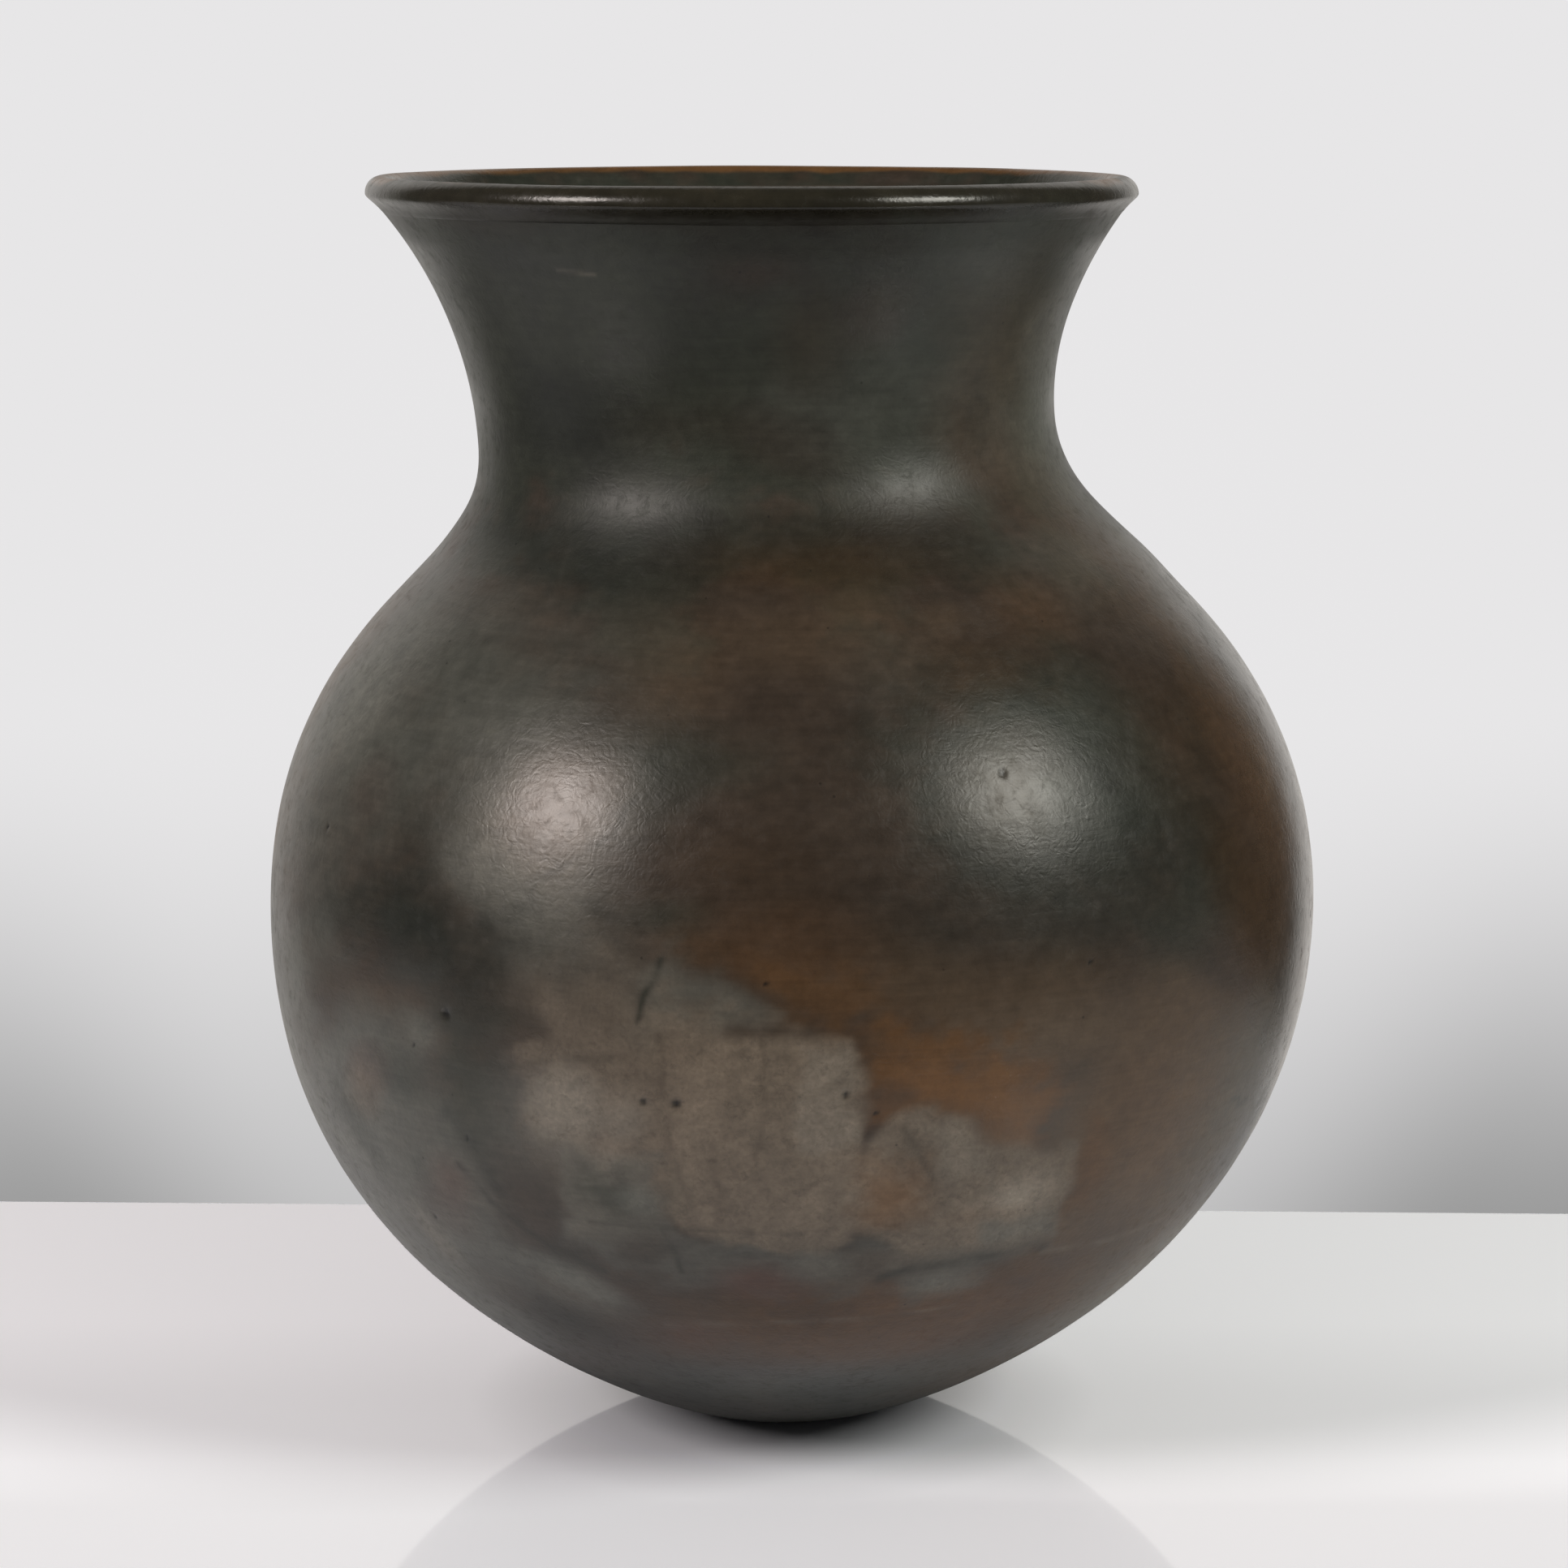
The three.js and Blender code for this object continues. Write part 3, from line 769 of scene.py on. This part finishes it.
def makeBurnishedClay():
    # low-fired earthenware, rubbed with a smooth stone before firing: satin, with a soft wide gloss, small
    # crinkles where the stone dragged, and clouds of soot, ash and flame from the open fire
    look = burnishedClay
    material, tree, place = startMaterial("burnishedSmokedClay")
    inMm = addNode(tree, "VectorMath", {0: place, "Scale": 1 / mm}, operation="SCALE")
    mottle = addNode(tree, "TexNoise", {"Vector": inMm, "Scale": 1 / look["mottle"], "Detail": 5,
                                        "Roughness": 0.62})
    grain = addNode(tree, "TexNoise", {"Vector": inMm, "Scale": 1 / look["grain"], "Distortion": 0.6})
    strokeScale = (1 / look["strokeLength"], 1 / look["strokeLength"], 1 / look["strokeWidth"])
    strokePlace = addNode(tree, "Mapping", {"Vector": inMm, "Scale": strokeScale})
    strokes = addNode(tree, "TexNoise", {"Vector": strokePlace, "Scale": 1, "Detail": 3})
    crinkle = addNode(tree, "TexNoise", {"Vector": inMm, "Scale": 1 / look["crinkle"], "Detail": 1,
                                         "Distortion": 1.5})
    crease = addNode(tree, "Math", (crinkle, 0.5), operation="SUBTRACT")
    crease = addNode(tree, "Math", (crease,), operation="ABSOLUTE")
    # the fired colours carry the painted highlight, reflection and shade marks too
    fired = addNode(tree, "Attribute", attribute_name="fired")
    ash = fired.outputs["Alpha"]

    shade = addNode(tree, "MapRange", (mottle, 0.2, 0.8, *look["mottleShade"]))
    # grit shows more in the ash and the burnishing strokes less: 1 + (noise - 0.5) x amount
    for noise, tone in ((grain, look["grainTone"]), (strokes, look["strokeTone"])):
        amount = addNode(tree, "Math", (ash, tone[1], tone[0]), operation="MULTIPLY_ADD")
        offset = addNode(tree, "Math", (noise, 0.5), operation="SUBTRACT")
        factor = addNode(tree, "Math", (offset, amount, 1), operation="MULTIPLY_ADD")
        shade = addNode(tree, "Math", (shade, factor), operation="MULTIPLY")
    # specks of soot: the high parts of a crisp noise
    specks = addNode(tree, "TexNoise", {"Vector": inMm, "Scale": 1 / look["specks"], "Detail": 5,
                                        "Roughness": 0.75, "Distortion": 0.4})
    specks = addNode(tree, "MapRange", (specks, *look["speckRange"]))
    # grit holes: a dark dot in the middle of about one Voronoi cell in three
    cells = addNode(tree, "TexVoronoi", {"Vector": inMm, "Scale": 1 / look["holes"]})
    holes = addNode(tree, "MapRange", (cells, *look["holeRange"]))
    some = addNode(tree, "Math", (cells.outputs["Color"], look["holeCut"]), operation="GREATER_THAN")
    holes = addNode(tree, "Math", (holes, some), operation="MULTIPLY")
    darkest, more = look["speckTone"]
    darkest = addNode(tree, "Math", (ash, more, darkest), operation="MULTIPLY_ADD")
    for marks, tone, base in ((specks, darkest, look["speckLift"]), (holes, look["holeTone"], 1)):
        factor = addNode(tree, "Math", (marks, tone, base), operation="MULTIPLY_ADD")
        shade = addNode(tree, "Math", (shade, factor), operation="MULTIPLY")
    colour = addNode(tree, "VectorMath", {0: fired, "Scale": shade}, operation="SCALE")

    gloss = addNode(tree, "MapRange", (mottle, 0.25, 0.75, *look["roughness"]))
    for amount, factor in ((ash, look["ashRoughness"]), (specks, look["speckRoughness"]),
                           (addNode(tree, "Attribute", attribute_name="dullness").outputs["Fac"], 1)):
        gloss = addNode(tree, "Math", (amount, factor, gloss), operation="MULTIPLY_ADD")
    height = addNode(tree, "Math", (strokes, look["strokeHeight"], grain), operation="MULTIPLY_ADD")
    height = addNode(tree, "Math", (crease, look["creaseHeight"], height), operation="MULTIPLY_ADD")
    crisp = addNode(tree, "Math", (ash, look["bump"][1], look["bump"][0]), operation="MULTIPLY_ADD")
    bump = addNode(tree, "Bump", {"Height": height, "Strength": crisp, "Distance": look["relief"] * mm})
    shader = addNode(tree, "BsdfPrincipled", {"Base Color": colour, "Roughness": gloss, "IOR": look["ior"],
                                              "Normal": bump})
    addNode(tree, "OutputMaterial", {"Surface": shader})
    return material


scrapedClay = {
    "dark": "#2b281f",
    "light": "#3d3427",
    "roughness": 0.6,
    "patch": 30,  # mm
    "grit": 0.9,
    "relief": 0.12,
}


def makeScrapedClay():
    # the unburnished inside of the same clay, scraped level and smoked dark brown: matt, with fine grit
    look = scrapedClay
    material, tree, place = startMaterial("scrapedSmokedClay")
    inMm = addNode(tree, "VectorMath", {0: place, "Scale": 1 / mm}, operation="SCALE")
    patch = addNode(tree, "TexNoise", {"Vector": inMm, "Scale": 1 / look["patch"], "Detail": 5,
                                       "Roughness": 0.6})
    grit = addNode(tree, "TexNoise", {"Vector": inMm, "Scale": 1 / look["grit"]})
    blend = addNode(tree, "MapRange", (patch, 0.35, 0.65))
    colour = addNode(tree, "Mix", {0: blend, 6: linear(look["dark"]), 7: linear(look["light"])},
                     data_type="RGBA").outputs[2]
    bump = addNode(tree, "Bump", {"Height": grit, "Strength": 1, "Distance": look["relief"] * mm})
    shader = addNode(tree, "BsdfPrincipled", {"Base Color": colour, "Roughness": look["roughness"],
                                              "Normal": bump})
    addNode(tree, "OutputMaterial", {"Surface": shader})
    return material


burnished = makeBurnishedClay()
scraped = makeScrapedClay()
print("materials made")


def addPiece(name, rows, closed):
    mesh = buildMesh(name, rows, closed)
    storeMarks(mesh, rows)
    mesh.materials.append(burnished)
    mesh.materials.append(scraped)
    piece = bpy.data.objects.new("fired_" + name, mesh)
    bpy.context.scene.collection.objects.link(piece)
    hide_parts(name)
    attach(piece, "root")
    print("piece", piece.name, "with", len(mesh.polygons), "faces")
    return piece


seams = []  # name, where its outside starts and where it ends, along the wall
for i, names in enumerate(courses["stretches"]):
    start, end = wallTable["starts"][i:i + 2]
    for j, name in enumerate(names):
        low, high = [start + (end - start) * k / len(names) for k in (j, j + 1)]
        seams.append((name, low, high))

addPiece("base", baseRows(seams[0][2], courses["lap"]), False)
for name, low, high in seams[1:]:
    lapAbove = courses["lipLap"] if name == "mouth" else courses["lap"]
    addPiece(name, courseRows(low, high, courses["lap"], lapAbove), True)
addPiece("lip", lipRows(seams[-1][2]), True)
print("vessel built")

table = {
    "colour": "#e9ecf5",
    "roughness": 0.05,
    # how much paler the camera sees it, by m behind the middle, so that it lights nothing more; the rise
    # towards the back is painted light over the lamps' shadows there
    "tone": [(-0.13, 1.45), (-0.08, 1.5), (-0.05, 1.8), (0, 1.85), (0.06, 2.15)],
    "toneReach": 1.2,  # the most that a tone adds
    # painted shade: under the round bottom the camera's lift falls away, deepening the contact shadow
    "shade": (0.036, 0.078),  # and less under the round bottom, from the first distance to the second
    "gloss": 0.5,  # the share of it that gloss sees in a ring round the foot
    "ring": (0.09, 0.14, 0.3, 0.5),  # where that starts, is full, starts to fade and ends
    "front": -0.34,
    "edge": 0.1685,  # m behind the vessel, in the middle
    "edgeTurn": -0.0286,  # its far edge is a little nearer on the right
    "half": 2.6,
    "thick": 0.03,
    "rounding": 0.0012,
}


def flatMesh(name, corners, faces):
    mesh = bpy.data.meshes.new(name)
    mesh.from_pydata([tuple(map(float, corner)) for corner in corners], [], faces)
    mesh.update()
    made = bpy.data.objects.new(name, mesh)
    bpy.context.scene.collection.objects.link(made)
    return made


def makeTable():
    # a gloss white laminate top: the vessel and the lamps mirror faintly in it
    half, thick, lean = table["half"], table["thick"], table["edgeTurn"] * table["half"]
    corners = [(x, y, z) for z in (-thick, 0)
               for x, y in ((-half, table["front"]), (half, table["front"]), (half, table["edge"] + lean),
                            (-half, table["edge"] - lean))]
    faces = [(3, 2, 1, 0), (4, 5, 6, 7), (0, 1, 5, 4), (1, 2, 6, 5), (2, 3, 7, 6), (3, 0, 4, 7)]
    made = flatMesh("table", corners, faces)
    material, tree, place = startMaterial("glossLaminate")
    path = addNode(tree, "LightPath").outputs
    away = addNode(tree, "VectorMath", {0: place}, operation="LENGTH").outputs["Value"]
    # its distance from the middle rises and falls again
    start, full, fade, end = table["ring"]
    rise = addNode(tree, "MapRange", (away, start, full))
    fall = addNode(tree, "MapRange", (away, end, fade, 0, table["gloss"]))
    ring = addNode(tree, "Math", (rise, fall), operation="MULTIPLY")
    mirrored = addNode(tree, "Math", (path["Is Glossy Ray"], ring), operation="MULTIPLY")
    seen = addNode(tree, "Math", (path["Is Camera Ray"], mirrored), operation="MAXIMUM")
    first, last = table["tone"][0][0], table["tone"][-1][0]
    depth = addNode(tree, "SeparateXYZ", (place,)).outputs["Y"]
    depth = addNode(tree, "MapRange", (depth, first, last))
    ramp = addNode(tree, "ValToRGB", (depth,))
    stops = ramp.color_ramp.elements
    while len(stops) < len(table["tone"]):
        stops.new(0.5)
    for stop, (at, tone) in zip(stops, table["tone"]):
        stop.position = (at - first) / (last - first)
        stop.color = (*[(tone - 1) / table["toneReach"]] * 3, 1)
    # painted shade: the lift fades out under the round bottom, which darkens the table round the foot
    clear = addNode(tree, "MapRange", (away, *table["shade"], 0, table["toneReach"]))
    extra = addNode(tree, "Math", (ramp, clear), operation="MULTIPLY")
    gain = addNode(tree, "Math", (seen, extra, 1), operation="MULTIPLY_ADD")
    colour = addNode(tree, "VectorMath", {0: linear(table["colour"])[:3], "Scale": gain}, operation="SCALE")
    shader = addNode(tree, "BsdfPrincipled", {"Base Color": colour, "Roughness": table["roughness"]})
    addNode(tree, "OutputMaterial", {"Surface": shader})
    made.data.materials.append(material)
    edge = made.modifiers.new("edge", "BEVEL")
    edge.width = table["rounding"]
    edge.segments = 3


paper = {
    "pale": "#e7e6e7",
    "dark": "#969696",
    "shade": "#8c8c8c",  # as it lights the vessel
    "rise": (-0.52, -0.1),  # m above the table where it is dark and where it is pale
    # painted light: a pale pool on the paper behind the vessel
    "glow": "#e8e7e8",  # a paler oval behind the vessel
    "glowStrength": 0.45,
    "glowMiddle": (-0.02, -0.2),
    "glowReach": (0.56, 0.36),  # m from its middle where it ends and where it is full
    "behind": 1.75,
    "low": -1.2,
    "high": 2.2,
    "half": 3.0,
    "warm": "#eae6e1",  # its colour for gloss
    "litLeft": (-2.3, -1.5),  # m from the middle where gloss finds the dark of the room, and where the paper
    "litRight": (1.65, 1.15),
    "slantHalf": 1.2,
    "glossLeft": 0.93,  # how bright it is for gloss, that far to the left
    "glossRight": 1.0,
}


def makeBackdrop():
    # pale seamless paper that falls into shade below the table; the camera and gloss see its own colour
    half, back = paper["half"], paper["behind"]
    corners = [(-half, back, paper["low"]), (half, back, paper["low"]), (half, back, paper["high"]),
               (-half, back, paper["high"])]
    made = flatMesh("backdrop", corners, [(0, 1, 2, 3)])
    material, tree, place = startMaterial("backdropPaper")
    path = addNode(tree, "LightPath").outputs
    axes = addNode(tree, "SeparateXYZ", (place,))
    rise = addNode(tree, "MapRange", (axes.outputs["Z"], *paper["rise"]), interpolation_type="SMOOTHSTEP")
    # painted light: a paler pool on the paper round the middle, behind the vessel
    middle = (paper["glowMiddle"][0], back, paper["glowMiddle"][1])
    away = addNode(tree, "VectorMath", (place, middle), operation="DISTANCE").outputs["Value"]
    glow = addNode(tree, "MapRange", (away, *paper["glowReach"], 0, paper["glowStrength"]),
                   interpolation_type="SMOOTHSTEP")
    tone = linear(paper["dark"])
    for amount, colour in ((rise, "pale"), (glow, "glow"), (path["Is Glossy Ray"], "warm")):
        tone = addNode(tree, "Mix", {0: amount, 6: tone, 7: linear(paper[colour])}, data_type="RGBA")
        tone = tone.outputs[2]
    left = addNode(tree, "MapRange", (axes, *paper["litLeft"]))
    right = addNode(tree, "MapRange", (axes, *paper["litRight"]))
    lit = addNode(tree, "Math", (left, right), operation="MULTIPLY")
    slant = addNode(tree, "MapRange", (axes, -paper["slantHalf"], paper["slantHalf"], paper["glossLeft"] - 1,
                                       paper["glossRight"] - 1))
    strength = addNode(tree, "Math", (path["Is Glossy Ray"], slant, 1), operation="MULTIPLY_ADD")
    mirrored = addNode(tree, "Math", (path["Is Glossy Ray"], lit), operation="MULTIPLY")
    seen = addNode(tree, "Math", (path["Is Camera Ray"], mirrored), operation="MAXIMUM")
    plain = addNode(tree, "BsdfDiffuse", {"Color": linear(paper["shade"])})
    own = addNode(tree, "Emission", {"Color": tone, "Strength": strength})
    mixed = addNode(tree, "MixShader", (seen, plain, own))
    addNode(tree, "OutputMaterial", {"Surface": mixed})
    made.data.materials.append(material)


makeTable()
makeBackdrop()
print("stage made")

world = {
    "seen": "#e6e6e7",  # what the camera sees past the backdrop
    "room": "#8c8a87",  # the dim studio that the vessel mirrors and that fills its shadows
    "roomStrength": 0.4,
}


def makeWorld():
    scene = bpy.context.scene
    scene.world = bpy.data.worlds.new("studio")
    scene.world.use_nodes = True
    tree = scene.world.node_tree
    tree.nodes.clear()
    path = addNode(tree, "LightPath")
    seen = addNode(tree, "Background", {"Color": linear(world["seen"]), "Strength": 1})
    room = addNode(tree, "Background", {"Color": linear(world["room"]), "Strength": world["roomStrength"]})
    mixed = addNode(tree, "MixShader", (path.outputs["Is Camera Ray"], room, seen))
    addNode(tree, "OutputWorld", {"Surface": mixed})


# Two large soft boxes in front, to the left and the right: bearing and elevation in degrees, distance and
# size in m, radiance at their face, colour.
softBoxes = {
    "softBoxLeft": (-56, 28.5, 2.6, 0.9, 19.3, "#fff5ef"),
    "softBoxRight": (57.5, 32.5, 2.6, 0.98, 15.1, "#fdfbf1"),
}

lampAim = 0.15  # they point at the middle of the vessel, this far above the table


def addSoftBox(name, bearing, elevation, distance, size, radiance, colour):
    light = bpy.data.lights.new(name, "AREA")
    light.shape = "DISK"
    light.size = size
    light.color = linear(colour)[:3]
    light.energy = radiance * math.pi * math.pi * size * size / 4  # watts: pi times area times radiance
    made = bpy.data.objects.new(name, light)
    turn, rise = math.radians(bearing), math.radians(elevation)
    made.location = (distance * math.sin(turn) * math.cos(rise), -distance * math.cos(turn) * math.cos(rise),
                     distance * math.sin(rise) + lampAim)
    made.rotation_euler = (math.pi / 2 - rise, 0, turn)
    bpy.context.scene.collection.objects.link(made)


makeWorld()
for name, box in softBoxes.items():
    addSoftBox(name, *box)
print("lights made")

camera = {
    "place": (0, -0.9758, 0.32745),
    "down": 10.075,  # degrees below level
    "lens": 93.99,
}
cameraData = bpy.data.cameras.new("camera")
cameraData.lens = camera["lens"]
cameraData.sensor_width = 36
cameraObject = bpy.data.objects.new("camera", cameraData)
cameraObject.location = camera["place"]
cameraObject.rotation_euler = (math.radians(90 - camera["down"]), 0, 0)
bpy.context.scene.collection.objects.link(cameraObject)
bpy.context.scene.camera = cameraObject
bpy.context.scene.view_settings.view_transform = "Standard"

bpy.context.view_layer.update()
print("camera set")
